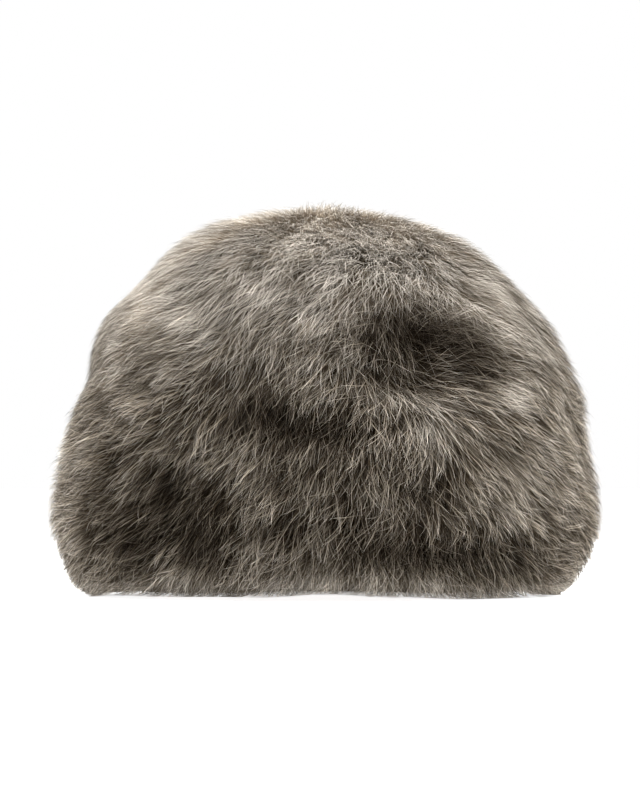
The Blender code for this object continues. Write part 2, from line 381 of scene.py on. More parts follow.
def patch_weight(
    heading: np.ndarray, height: np.ndarray, patch: "Dent | ToneAndPaintedLight", half_width: float
) -> np.ndarray:
    """How strongly points lie in an oval patch of the surface.

    Args:
        heading: Headings in radians.
        height: Heights in metres.
        patch: The patch, with its heading, height, half sizes and tilt.
        half_width: The hat's half width, which turns headings into distances.

    Returns:
        Weights, 1 in the patch's middle and falling softly to 0.
    """
    turn = np.remainder(heading - math.radians(patch.heading) + math.pi, math.tau) - math.pi
    across = turn * half_width
    up = height - patch.height
    tilt = math.radians(patch.tilt)
    along = across * math.cos(tilt) + up * math.sin(tilt)
    over = up * math.cos(tilt) - across * math.sin(tilt)
    return np.exp(-((along / patch.half_length) ** 2) - (over / patch.half_height) ** 2)


# How the hair lies


@dataclass(frozen=True)
class Comb:
    """Which way the hair lies at one place of the front, as seen from the front.

    x and z place it, in metres. turn is in degrees from straight down towards the right, and
    scatter is how far single hairs stray from it. half_size is how far the place reaches.
    """

    x: float
    z: float
    turn: float
    scatter: float
    half_size: float


COMBS = (
    Comb(-0.099, 0.017, -50, 16, 0.022),
    Comb(-0.116, 0.055, -46, 16, 0.020),
    Comb(-0.104, 0.083, -48, 16, 0.020),
    Comb(-0.076, 0.043, -36, 14, 0.018),
    Comb(-0.051, 0.033, -20, 14, 0.018),
    Comb(-0.080, 0.006, -36, 19, 0.016),
    Comb(-0.035, 0.003, -32, 22, 0.016),
    Comb(-0.002, 0.002, -30, 22, 0.016),
    Comb(-0.012, 0.051, -28, 16, 0.018),
    Comb(0.012, 0.027, -20, 19, 0.018),
    Comb(-0.021, 0.132, -34, 13, 0.018),
    Comb(-0.080, 0.138, -55, 13, 0.020),
    Comb(-0.067, 0.119, -54, 14, 0.016),
    Comb(-0.044, 0.157, -44, 16, 0.018),
    Comb(0.002, 0.142, -28, 16, 0.016),
    Comb(0.034, 0.145, -4, 22, 0.014),
    Comb(0.002, 0.168, -32, 24, 0.018),
    Comb(0.035, 0.168, 4, 20, 0.016),
    Comb(0.067, 0.160, 45, 16, 0.016),
    Comb(0.081, 0.140, 45, 14, 0.018),
    Comb(-0.007, 0.101, -12, 15, 0.016),
    Comb(0.016, 0.116, -28, 22, 0.012),
    Comb(0.034, 0.119, 50, 50, 0.010),
    Comb(0.046, 0.130, 50, 26, 0.010),
    Comb(0.048, 0.114, 100, 24, 0.010),
    Comb(0.034, 0.103, -10, 50, 0.010),
    Comb(0.050, 0.103, 80, 20, 0.009),
    Comb(0.064, 0.098, 48, 14, 0.010),
    Comb(0.037, 0.077, -38, 16, 0.013),
    Comb(0.060, 0.119, 88, 16, 0.010),
    Comb(0.072, 0.116, 62, 14, 0.010),
    Comb(0.080, 0.109, 52, 14, 0.010),
    Comb(0.050, 0.089, 10, 16, 0.010),
    Comb(0.067, 0.086, 26, 14, 0.013),
    Comb(0.047, 0.063, 2, 14, 0.014),
    Comb(0.094, 0.079, 40, 14, 0.018),
    Comb(0.110, 0.068, 46, 16, 0.018),
    Comb(0.085, 0.056, 26, 14, 0.016),
    Comb(0.090, 0.034, 42, 16, 0.014),
    Comb(0.044, 0.033, -10, 35, 0.014),
    Comb(0.069, 0.008, 0, 24, 0.014),
    Comb(0.103, 0.010, 62, 19, 0.014),
)


class Combing:
    """The way that the hair lies all over the hat.

    The limits keep combed places on the side walls from pulling the hair round the hat.
    """

    widest_sine = 0.94
    least_fall = 0.25
    least_across = 0.30
    plain_scatter = 18.0

    def __init__(self, form: HatForm, swirl: float, hold: float) -> None:
        """Place the combed places on the form.

        Args:
            form: The hat's form.
            swirl: How far the hair leans round the hat where nothing else combs it, in degrees.
            hold: How strongly it does so beside the combed places.
        """
        self.form = form
        self.swirl = math.radians(swirl)
        self.hold = hold
        self.places, self.leans = self._place_combs()
        self.scatter = np.array([comb.scatter for comb in COMBS])
        self.reach = np.array([comb.half_size for comb in COMBS])

    def _place_combs(self) -> tuple[np.ndarray, np.ndarray]:
        """Place the combs.

        Returns:
            Each comb's point on the round hat, and its direction along the surface there.
        """
        x = np.array([comb.x for comb in COMBS])
        z = np.array([comb.z for comb in COMBS])
        turn = np.radians([comb.turn for comb in COMBS])
        run = np.interp(-z, -self.form.outer[:, 1], self.form.run)
        reach = np.interp(run, self.form.run, self.form.outer[:, 0])
        sine = x / np.maximum(reach, 1e-6)
        heading = np.arcsin(np.clip(sine, -self.widest_sine, self.widest_sine))
        points = self.form.on_round(heading, run)
        around, down, _ = self.form.directions(points)
        drop = np.cos(turn) / np.maximum(-down[:, 2], self.least_fall)
        side = (np.sin(turn) - drop * down[:, 0]) / np.maximum(around[:, 0], self.least_across)
        return points, unit(around * side[:, None] + down * drop[:, None])

    def at(self, points: np.ndarray) -> tuple[np.ndarray, np.ndarray]:
        """Read the combing.

        Args:
            points: Rows of points on the round hat.

        Returns:
            The direction in which the hair lies at each point, and its scatter in radians.
        """
        around, down, out = self.form.directions(points)
        base = around * math.sin(self.swirl) + down * math.cos(self.swirl)
        lean = base * self.hold
        weight = np.full(len(points), self.hold)
        scatter = np.full(len(points), self.plain_scatter) * self.hold
        for place, way, spread, reach in zip(self.places, self.leans, self.scatter, self.reach):
            apart = np.sum((points - place) ** 2, axis=1)
            near = np.exp(-0.5 * apart / reach**2)
            lean += near[:, None] * way
            weight += near
            scatter += near * spread
        lean -= out * np.sum(lean * out, axis=1, keepdims=True)
        return unit(lean), np.radians(scatter / weight)


# Colour


@dataclass(frozen=True)
class ToneAndPaintedLight:
    """An oval patch where the coat is painted darker or paler: painted shade in hollows, creases
    and valleys, painted light on crests, the top and the hem, and partly the coat's own tone.

    Heading and tilt are in degrees, the sizes in metres, and change is -1 for far darker and 1
    for far paler.
    """

    heading: float
    height: float
    half_length: float
    half_height: float
    tilt: float
    change: float


TONES_AND_PAINTED_LIGHT = (
    # All round: painted light on the top, as lit from above, and painted light on the hem, as lit
    # from the floor
    ToneAndPaintedLight(0, 0.176, 9.000, 0.040, 0, 0.48),
    ToneAndPaintedLight(0, 0.000, 9.000, 0.006, 0, 0.45),
    # The deep hollow on the right of the front: painted shade in it, partly the dark roots of the
    # parted hair, and painted light on its rim and its wisps
    ToneAndPaintedLight(29, 0.119, 0.038, 0.010, -12, -0.90),
    ToneAndPaintedLight(10, 0.120, 0.015, 0.006, 0, -0.80),
    ToneAndPaintedLight(19, 0.114, 0.009, 0.005, 0, -0.45),
    ToneAndPaintedLight(13, 0.104, 0.015, 0.010, 0, -0.48),
    ToneAndPaintedLight(24, 0.099, 0.018, 0.006, 0, -0.45),
    ToneAndPaintedLight(41, 0.108, 0.020, 0.008, -16, -0.45),
    ToneAndPaintedLight(33, 0.110, 0.018, 0.006, -8, 0.42),
    ToneAndPaintedLight(32, 0.138, 0.024, 0.008, -18, 0.25),
    ToneAndPaintedLight(58, 0.130, 0.026, 0.014, 20, 0.30),
    ToneAndPaintedLight(20, 0.138, 0.018, 0.007, 0, 0.22),
    ToneAndPaintedLight(42, 0.122, 0.014, 0.006, -16, -0.32),
    ToneAndPaintedLight(7, 0.100, 0.008, 0.006, 0, 0.25),
    ToneAndPaintedLight(2, 0.153, 0.030, 0.008, 0, -0.22),
    # The crease across the middle, painted dark as shade, and the painted shadow that runs to it
    # from the left shoulder
    ToneAndPaintedLight(-2, 0.077, 0.030, 0.010, 0, -0.85),
    ToneAndPaintedLight(-16, 0.083, 0.020, 0.010, 8, -0.50),
    ToneAndPaintedLight(-24, 0.089, 0.030, 0.006, 24, -0.15),
    ToneAndPaintedLight(-3, 0.112, 0.020, 0.006, 12, -0.38),
    ToneAndPaintedLight(-5, 0.123, 0.014, 0.005, 8, 0.25),
    # Paler tufts and painted shadows between the hollow and the hem
    ToneAndPaintedLight(17, 0.091, 0.014, 0.007, 0, 0.38),
    ToneAndPaintedLight(31, 0.073, 0.016, 0.011, 0, 0.20),
    ToneAndPaintedLight(15, 0.059, 0.015, 0.008, 0, -0.45),
    ToneAndPaintedLight(20, 0.045, 0.021, 0.010, 0, -0.58),
    ToneAndPaintedLight(-7, 0.054, 0.018, 0.014, 0, -0.48),
    ToneAndPaintedLight(-20, 0.043, 0.013, 0.012, 0, -0.40),
    ToneAndPaintedLight(3, 0.033, 0.022, 0.009, 0, -0.52),
    ToneAndPaintedLight(-8, 0.028, 0.012, 0.012, 0, -0.60),
    ToneAndPaintedLight(9, 0.019, 0.025, 0.010, 0, -0.42),
    ToneAndPaintedLight(-8, 0.012, 0.028, 0.005, 0, -0.38),
    # The left shoulder's crest painted pale as lit from above, painted shade in the valley above
    # it, and paler and darker patches on the flank below
    ToneAndPaintedLight(-54, 0.124, 0.048, 0.010, -4, 0.30),
    ToneAndPaintedLight(-25, 0.100, 0.013, 0.006, 0, 0.30),
    ToneAndPaintedLight(-40, 0.134, 0.018, 0.010, 0, -0.28),
    ToneAndPaintedLight(-62, 0.104, 0.022, 0.028, 0, 0.28),
    ToneAndPaintedLight(-58, 0.064, 0.026, 0.032, 0, -0.20),
    ToneAndPaintedLight(-76, 0.057, 0.026, 0.030, 0, 0.34),
    ToneAndPaintedLight(-73, 0.069, 0.014, 0.009, 0, -0.38),
    # Painted shade in the hollow low on the left, partly the dark roots of hair that parts there
    ToneAndPaintedLight(-36, 0.035, 0.034, 0.022, 0, -0.80),
    ToneAndPaintedLight(-38, 0.054, 0.026, 0.011, 0, -0.45),
    ToneAndPaintedLight(-28, 0.024, 0.014, 0.010, 0, -0.38),
    ToneAndPaintedLight(-54, 0.022, 0.026, 0.016, 0, -0.58),
    # Painted shade in the fold low on the right, and paler and darker patches on the flank above it
    ToneAndPaintedLight(34, 0.023, 0.046, 0.007, 0, -0.78),
    ToneAndPaintedLight(42, 0.010, 0.030, 0.007, 0, -0.62),
    ToneAndPaintedLight(25, 0.014, 0.018, 0.006, 0, -0.35),
    ToneAndPaintedLight(13, 0.007, 0.015, 0.005, 0, 0.25),
    ToneAndPaintedLight(56, 0.034, 0.014, 0.008, 0, -0.38),
    ToneAndPaintedLight(40, 0.038, 0.018, 0.008, 0, 0.20),
    ToneAndPaintedLight(66, 0.096, 0.024, 0.030, 0, 0.12),
    ToneAndPaintedLight(57, 0.090, 0.012, 0.008, 0, -0.22),
    ToneAndPaintedLight(84, 0.052, 0.020, 0.050, 0, 0.10),
)


@dataclass(frozen=True)
class Shade:
    """One stop of a colour along a hair: its place from root to tip, and its linear colour."""

    place: float
    colour: tuple[float, float, float]


@dataclass(frozen=True)
class HairFinish:
    """How hair looks: its colours from root to tip, and how it shines.

    The spreads say how many times as bright the palest hair and the palest tone are as the
    darkest. The warmth says how much more each of red, green and blue falls in the dark.
    """

    name: str
    shades: tuple[Shade, ...]
    strand_spread: float
    tone_spread: float
    roughness: float
    shine: float
    warmth: tuple[float, float, float] = (0.0, 0.09, 0.20)

    def material(self) -> bpy.types.Material:
        """Make the material.

        Returns:
            A material that reads each hair's own values from the attribute "coat".
        """
        material, tree, shader = new_material(self.name)
        coat = tree.nodes.new("ShaderNodeAttribute")
        coat.attribute_name = "coat"
        parts = tree.nodes.new("ShaderNodeSeparateColor")
        tree.links.new(coat.outputs["Color"], parts.inputs["Color"])
        ramp = tree.nodes.new("ShaderNodeValToRGB")
        ramp.color_ramp.interpolation = "EASE"
        stops = ramp.color_ramp.elements
        while len(stops) < len(self.shades):
            stops.new(0.5)
        for stop, shade in zip(stops, self.shades):
            stop.position = shade.place
            stop.color = (*shade.colour, 1.0)
        tree.links.new(parts.outputs["Red"], ramp.inputs["Fac"])
        strand = raised(tree, parts.outputs["Green"], self.strand_spread)
        # The blue channel is the hair's shade, which carries painted shade and painted light.
        tone = raised(tree, parts.outputs["Blue"], self.tone_spread)
        tinted = tree.nodes.new("ShaderNodeVectorMath")
        tinted.operation = "MULTIPLY"
        tree.links.new(ramp.outputs["Color"], tinted.inputs[0])
        factor = worked_out(tree, "MULTIPLY", strand, tone)
        tree.links.new(self._tint(tree, factor), tinted.inputs[1])
        tree.links.new(tinted.outputs[0], shader.inputs["Base Color"])
        shader.inputs["Roughness"].default_value = self.roughness
        shader.inputs["Specular IOR Level"].default_value = self.shine
        return material

    def _tint(
        self, tree: bpy.types.NodeTree, factor: bpy.types.NodeSocket
    ) -> bpy.types.NodeSocket:
        """Turn a brightness into a tint that is warm where it is below one.

        Args:
            tree: The material's nodes.
            factor: The brightness's socket.

        Returns:
            The tint's socket.
        """
        dark = worked_out(tree, "MINIMUM", factor, 1.0)
        tint = tree.nodes.new("ShaderNodeCombineXYZ")
        for axis, warmth in zip("XYZ", self.warmth):
            fall = worked_out(tree, "POWER", dark, warmth)
            tree.links.new(worked_out(tree, "MULTIPLY", factor, fall), tint.inputs[axis])
        return tint.outputs[0]


@dataclass(frozen=True)
class PatchyFinish:
    """A matt surface with soft patches of two colours and a fine grain."""

    name: str
    dark: tuple[float, float, float]
    pale: tuple[float, float, float]
    patch_scale: float
    grain_scale: float
    grain_height: float
    roughness: float
    sheen: float
    patch_edges: tuple[float, float] = (0.30, 0.70)
    patch_detail: float = 4.0
    grain_detail: float = 3.0
    grain_strength: float = 0.5

    def material(self) -> bpy.types.Material:
        """Make the material.

        Returns:
            The finished material.
        """
        material, tree, shader = new_material(self.name)
        ramp = tree.nodes.new("ShaderNodeValToRGB")
        stops = zip(ramp.color_ramp.elements, self.patch_edges, (self.dark, self.pale))
        for stop, place, colour in stops:
            stop.position = place
            stop.color = (*colour, 1.0)
        tree.links.new(noise(tree, self.patch_scale, self.patch_detail), ramp.inputs["Fac"])
        tree.links.new(ramp.outputs["Color"], shader.inputs["Base Color"])
        bump = tree.nodes.new("ShaderNodeBump")
        bump.inputs["Strength"].default_value = self.grain_strength
        bump.inputs["Distance"].default_value = self.grain_height
        tree.links.new(noise(tree, self.grain_scale, self.grain_detail), bump.inputs["Height"])
        tree.links.new(bump.outputs["Normal"], shader.inputs["Normal"])
        shader.inputs["Roughness"].default_value = self.roughness
        shader.inputs["Sheen Weight"].default_value = self.sheen
        return material


def new_material(name: str) -> tuple[bpy.types.Material, bpy.types.NodeTree, bpy.types.Node]:
    """Start a material.

    Args:
        name: Its name.

    Returns:
        The material, its node tree, and its Principled shader.
    """
    material = bpy.data.materials.new(name)
    material.use_nodes = True
    tree = material.node_tree
    shader = tree.nodes["Principled BSDF"]
    shader.inputs["Metallic"].default_value = 0.0
    return material, tree, shader


def noise(tree: bpy.types.NodeTree, scale: float, detail: float) -> bpy.types.NodeSocket:
    """Add a noise that keeps its place on the piece.

    Args:
        tree: The material's nodes.
        scale: How many of its patches fit in a metre.
        detail: How many finer layers it has.

    Returns:
        The noise's socket.
    """
    where = tree.nodes.new("ShaderNodeTexCoord")
    field = tree.nodes.new("ShaderNodeTexNoise")
    field.inputs["Scale"].default_value = scale
    field.inputs["Detail"].default_value = detail
    tree.links.new(where.outputs["Object"], field.inputs["Vector"])
    return field.outputs["Fac"]


def worked_out(
    tree: bpy.types.NodeTree,
    operation: str,
    first: bpy.types.NodeSocket | float,
    second: bpy.types.NodeSocket | float,
) -> bpy.types.NodeSocket:
    """Work out one value from two.

    Args:
        tree: The material's nodes.
        operation: What the math node does.
        first: A socket or a number.
        second: A socket or a number.

    Returns:
        The result's socket.
    """
    node = tree.nodes.new("ShaderNodeMath")
    node.operation = operation
    for socket, value in zip(node.inputs, (first, second)):
        if isinstance(value, float):
            socket.default_value = value
        else:
            tree.links.new(value, socket)
    return node.outputs[0]


def scaled(
    tree: bpy.types.NodeTree, source: bpy.types.NodeSocket, low: float, high: float
) -> bpy.types.NodeSocket:
    """Map a value from 0 to 1 onto another range.

    Args:
        tree: The material's nodes.
        source: The value's socket.
        low: What 0 becomes.
        high: What 1 becomes.

    Returns:
        The mapped value's socket.
    """
    node = tree.nodes.new("ShaderNodeMapRange")
    node.inputs["To Min"].default_value = low
    node.inputs["To Max"].default_value = high
    tree.links.new(source, node.inputs["Value"])
    return node.outputs["Result"]


def raised(
    tree: bpy.types.NodeTree, source: bpy.types.NodeSocket, spread: float
) -> bpy.types.NodeSocket:
    """Turn a value into a factor: 0.5 becomes one, and 0 and 1 lie a spread apart.

    Args:
        tree: The material's nodes.
        source: The value's socket, from 0 to 1.
        spread: How many times as bright as 0 the value 1 is.

    Returns:
        The factor's socket.
    """
    return worked_out(tree, "POWER", spread, scaled(tree, source, -0.5, 0.5))


# Hair


class Region(Enum):
    """The two pelts that the hair grows on."""

    CROWN = "crown"
    BAND = "band"


@dataclass(frozen=True)
class HairKind:
    """One kind of hair. Lengths are in metres, and shares are of the pile's depth."""

    density: float
    length: float
    length_spread: float
    root_share: float
    root_spread: float
    tip_share: float
    tip_spread: float
    width: float
    tip_width: float
    pull: float
    bend: float
    roll: float
    stations: tuple[float, ...]


GUARD_HAIR = HairKind(
    density=0.74e6,
    length=0.018,
    length_spread=0.35,
    root_share=0.66,
    root_spread=0.04,
    tip_share=0.985,
    tip_spread=0.035,
    width=0.00020,
    tip_width=0.00006,
    pull=0.80,
    bend=0.0026,
    roll=0.85,
    stations=(0.0, 0.42, 0.76, 1.0),
)
DOWN_HAIR = HairKind(
    density=2.40e6,
    length=0.014,
    length_spread=0.35,
    root_share=0.64,
    root_spread=0.05,
    tip_share=0.91,
    tip_spread=0.050,
    width=0.00022,
    tip_width=0.00005,
    pull=0.60,
    bend=0.0022,
    roll=1.00,
    stations=(0.0, 1.0),
)


@dataclass(frozen=True)
class LockSizes:
    """How hairs gather into locks: how far apart locks are, and how much each strays."""

    spacing: float
    stray: float
    lift: float
    tone: float
    pull: float


LOCKS = (
    LockSizes(spacing=0.0240, stray=11.0, lift=0.035, tone=0.16, pull=0.20),
    LockSizes(spacing=0.0085, stray=9.0, lift=0.030, tone=0.18, pull=0.40),
    LockSizes(spacing=0.0038, stray=6.0, lift=0.018, tone=0.16, pull=0.60),
)


@dataclass(frozen=True)
class Habit:
    """How hair of every kind grows. Lengths are in metres, and shares are of the pile's depth.

    In the whorl on top, hair is shorter, rooted higher and swayed less, and it is paler down to its
    root and more alike, painted light over the shade between its upright hairs. At the seam the
    band's hair sinks under the crown's. At the hem hair is cut to an uneven fringe and then laid
    along
    the floor. The powers bend each hair: along its way, out of the pile and into its lock.
    """

    usual_scatter: float = math.radians(16.0)
    whorl_reach: float = 0.115
    whorl_lie: float = 0.70
    whorl_gain: float = 0.30
    whorl_power: float = 2.5
    whorl_root_rise: float = 0.30
    whorl_tip_rise: float = 0.14
    whorl_calm: int = 4
    seam_sink: float = 0.08
    hem_cut: float = 0.0110
    hem_fringe: float = 0.0045
    hem_least: float = 0.60
    floor_ease: float = 0.0014
    along_power: float = 1.15
    rise_power: float = 1.7
    pull_power: float = 1.5
    seen_part: float = 0.75
    width_spread: float = 0.25
    taper_power: float = 2.2


@dataclass(frozen=True)
class Toning:
    """How tones vary from hair to hair.

    A tone is 0 where the coat is plain, and it holds painted shade and painted light as well as
    the coat's own tone. A shade is the same from 0 to 1, with 0.5 for plain. Pale hair is filled,
    so that it is pale nearly down to its root, and dark hair fades, so that it isn't pale even at
    its tip. Single hairs differ most where the coat is dark.
    """

    own_spread: float = 0.30
    cloud_cell: float = 0.017
    cloud_tone: float = 0.16
    fill: float = 0.78
    fill_from: float = 0.46
    fill_over: float = 0.28
    fade: float = 0.30
    fade_under: float = 0.35
    strand_slope: float = 0.9
    strand_least: float = 0.45
    strand_most: float = 1.2


HABIT = Habit()
TONING = Toning()


@dataclass
class Strands:
    """A set of hairs, each a line of points that narrows to its tip, with its own values."""

    lines: np.ndarray
    sides: np.ndarray
    widths: np.ndarray
    along: np.ndarray
    strand: np.ndarray
    tone: np.ndarray
    fill: np.ndarray

    def part(self, chosen: np.ndarray) -> "Strands":
        """Take some of the hairs.

        Args:
            chosen: True for each hair that is taken.

        Returns:
            Those hairs.
        """
        return Strands(
            self.lines[chosen],
            self.sides[chosen],
            self.widths[chosen],
            self.along,
            self.strand[chosen],
            self.tone[chosen],
            self.fill[chosen],
        )


class Coat:
    """The hair on one pelt.

    Powers of the plastic number spread the roots evenly, and the rows are those of the outline
    along which the pelt's area is added up.
    """

    plastic_number = 1.32471795724474602596
    rows = 200

    def __init__(self, form: HatForm, combing: Combing, region: Region, seed: int) -> None:
        """Set up the coat.

        Args:
            form: The hat's form.
            combing: How the hair lies.
            region: The pelt that it grows on.
            seed: The seed of all that is random in it.
        """
        self.form = form
        self.combing = combing
        self.region = region
        self.rng = np.random.default_rng(seed)
        sizes = form.sizes
        stops = (sizes.seam_mouth_height, sizes.lowest_roots)
        seam, hem = (np.interp(-height, -form.outer[:, 1], form.run) for height in stops)
        span = (0.0, seam) if region is Region.CROWN else (seam, hem)
        self.area_run = np.linspace(*span, self.rows)
        reach = np.interp(self.area_run, form.run, form.outer[:, 0])
        ratio = 0.5 * (1.0 + sizes.half_depth / sizes.half_width)
        self.area = np.cumsum(np.gradient(self.area_run) * reach * math.tau * ratio)

    def scatter(self, density: float) -> np.ndarray:
        """Spread points evenly over the pelt's outer surface.

        Args:
            density: Points for each square metre.

        Returns:
            Rows of points on the round hat.
        """
        count = int(density * self.area[-1])
        index = np.arange(count) + 0.5
        jitter = self.rng.uniform(-0.5, 0.5, (2, count)) / math.sqrt(count)
        heading = math.tau * np.remainder(index / self.plastic_number + jitter[0], 1.0)
        part = np.remainder(index / self.plastic_number**2 + jitter[1], 1.0) * self.area[-1]
        return self.form.on_round(heading, np.interp(part, self.area, self.area_run))

    def grow(self, kind: HairKind) -> Strands:
        """Grow one kind of hair over the pelt.

        Args:
            kind: The kind of hair.

        Returns:
            The hairs, in place on the hat.
        """
        rng = self.rng
        roots = self.scatter(kind.density)
        count = len(roots)
        lean, scatter = self.combing.at(roots)
        _, _, out = self.form.directions(roots)
        turn = rng.normal(0.0, 1.0, count) * scatter
        lift = rng.normal(0.0, kind.tip_spread, count)
        tone = np.zeros(count)
        pull = np.zeros((count, 3))
        for locks in LOCKS:
            apart, sways = self._locks(roots, locks)
            turn += np.radians(locks.stray) * sways[:, 0] * (scatter / HABIT.usual_scatter)
            lift += locks.lift * sways[:, 1]
            tone += locks.tone * sways[:, 2]
            pull -= apart * (locks.pull * kind.pull)
        ahead = unit(lean * np.cos(turn)[:, None] + np.cross(out, lean) * np.sin(turn)[:, None])
        sideways = np.cross(out, ahead)
        lie = self._lie(roots)
        calm = lie**HABIT.whorl_calm
        length = kind.length * (1.0 + rng.uniform(-1.0, 1.0, count) * kind.length_spread) * lie
        length *= self._hem_cut(roots[:, 2], ahead[:, 2] * length)
        pull *= calm[:, None]
        bend = rng.normal(0.0, kind.bend, count) * calm
        root_share = kind.root_share + rng.uniform(-1.0, 1.0, count) * kind.root_spread
        root_share += HABIT.whorl_root_rise * (1.0 - lie)
        tip_share = kind.tip_share + lift - self._furrow(roots)
        tip_share += HABIT.whorl_tip_rise * (1.0 - lie)
        lines = []
        for t in kind.stations:
            step = ahead * (length * t**HABIT.along_power)[:, None]
            step += sideways * (bend * t**2)[:, None]
            rise = 1.0 - (1.0 - t) ** HABIT.rise_power
            share = root_share + (tip_share - root_share) * rise
            place = self.form.snap(roots + step + pull * t**HABIT.pull_power, share)
            lines.append(
                self.form.settle(self._above_floor(place), share, self.form.sizes.hair_lump)
            )
        reached = (ahead * length[:, None] + pull) * HABIT.seen_part
        seen = self.form.snap(roots + reached, np.ones(count))
        return self._strands(kind, np.stack(lines, axis=1), seen, tone, lie)

    def _locks(self, roots: np.ndarray, locks: LockSizes) -> tuple[np.ndarray, np.ndarray]:
        """Gather the hairs into locks.

        Args:
            roots: Rows of roots on the round hat.
            locks: The locks' sizes.

        Returns:
            Each root's place in its lock, and three random values from -1 to 1 of that lock.
        """
        centres = self.scatter(1.0 / locks.spacing**2)
        tree = kdtree.KDTree(len(centres))
        for index, centre in enumerate(centres.tolist()):
            tree.insert(centre, index)
        tree.balance()
        nearest = np.array([tree.find(root)[1] for root in roots.tolist()])
        sways = self.rng.uniform(-1.0, 1.0, (len(centres), 3))
        return roots - centres[nearest], sways[nearest]

    def _lie(self, roots: np.ndarray) -> np.ndarray:
        """Find how far over the hair lies: it stands up in the whorl on the crown's top.

        Args:
            roots: Rows of roots on the round hat.

        Returns:
            A value for each root, 1 outside the whorl.
        """
        apart = np.clip(np.hypot(roots[:, 0], roots[:, 1]) / HABIT.whorl_reach, 0.0, 1.0)
        return HABIT.whorl_lie + HABIT.whorl_gain * apart**HABIT.whorl_power

    def _hem_cut(self, height: np.ndarray, rise: np.ndarray) -> np.ndarray:
        """Find how much of its length the hair keeps at the hem.

        Args:
            height: The roots' heights.
            rise: How far each tip lies above its root.

        Returns:
            A share for each hair, 1 for all that ends above the hem.
        """
        fringe = HABIT.hem_fringe * self.rng.uniform(0.0, 1.0, len(rise)) ** 2
        drop = np.maximum(-rise, 1e-5)
        return np.clip((height + HABIT.hem_cut - fringe) / drop, HABIT.hem_least, 1.0)

    def _furrow(self, roots: np.ndarray) -> np.ndarray:
        """Find how far the band's hair sinks under the crown's at the seam.

        Args:
            roots: Rows of roots on the round hat.

        Returns:
            A share of the pile's depth for each root.
        """
        if self.region is Region.CROWN:
            return np.zeros(len(roots))
        sizes = self.form.sizes
        near = 1.0 - (sizes.seam_mouth_height - roots[:, 2]) / sizes.furrow_fall
        return HABIT.seam_sink * np.clip(near, 0.0, 1.0) ** 2

    def _above_floor(self, points: np.ndarray) -> np.ndarray:
        """Lay points that would sink into the floor along it.

        Args:
            points: Rows of points.

        Returns:
            The points, all above the floor.
        """
        soft = HABIT.floor_ease
        low = self.form.sizes.floor_clearance
        over = points[:, 2] - low
        eased = np.where(over > soft, over, soft * np.exp(np.minimum(over - soft, 0.0) / soft))
        moved = points.copy()
        moved[:, 2] = low + eased
        return moved

    def _strands(
        self, kind: HairKind, lines: np.ndarray, seen: np.ndarray, tone: np.ndarray, lie: np.ndarray
    ) -> Strands:
        """Give the hairs their widths, and their tones by where they are seen, with the painted
        shade and painted light of the patches.

        Args:
            kind: The kind of hair.
            lines: A line of points for each hair.
            seen: Where on the round hat each hair is seen.
            tone: The tones that the hairs have from their locks.
            lie: How far over each hair lies.

        Returns:
            The hairs.
        """
        rng = self.rng
        count = len(lines)
        _, _, out = self.form.directions(seen)
        middle = unit(lines[:, -1] - lines[:, 0])
        across = unit(np.cross(middle, out))
        roll = rng.uniform(-kind.roll, kind.roll, count)[:, None]
        sides = unit(across * np.cos(roll) + np.cross(middle, across) * np.sin(roll))
        stations = np.array(kind.stations)
        narrowing = 1.0 - stations**HABIT.taper_power
        taper = kind.tip_width + (kind.width - kind.tip_width) * narrowing
        own_width = 1.0 + rng.uniform(-HABIT.width_spread, HABIT.width_spread, count)
        heading = np.arctan2(seen[:, 0], -seen[:, 1])
        # Painted shade and painted light: each patch darkens or lightens the hairs seen in it.
        for patch in TONES_AND_PAINTED_LIGHT:
            weight = patch_weight(heading, seen[:, 2], patch, self.form.sizes.half_width)
            tone = tone + patch.change * weight
        tone = tone * (1.0 + TONING.own_spread * rng.uniform(-1.0, 1.0, count))
        tone = tone + TONING.cloud_tone * SmoothNoise(TONING.cloud_cell, seed=5).at(seen)
        shade = np.clip(0.5 + 0.5 * tone, 0.0, 1.0)
        fill = TONING.fill * np.clip((shade - TONING.fill_from) / TONING.fill_over, 0.0, 1.0)
        # In the whorl hairs are painted pale down to their roots and alike: painted light over the
        # shade between upright hairs.
        calm = lie**HABIT.whorl_calm
        contrast = 1.0 - TONING.strand_slope * tone
        contrast = np.clip(contrast, TONING.strand_least, TONING.strand_most)
        return Strands(
            lines=lines,
            sides=sides,
            widths=taper[None, :] * (own_width * lie)[:, None],
            along=stations,
            strand=np.clip(0.5 + rng.uniform(-0.5, 0.5, count) * contrast * calm, 0, 1),
            tone=shade,
            fill=1.0 - (1.0 - fill) * calm,
        )


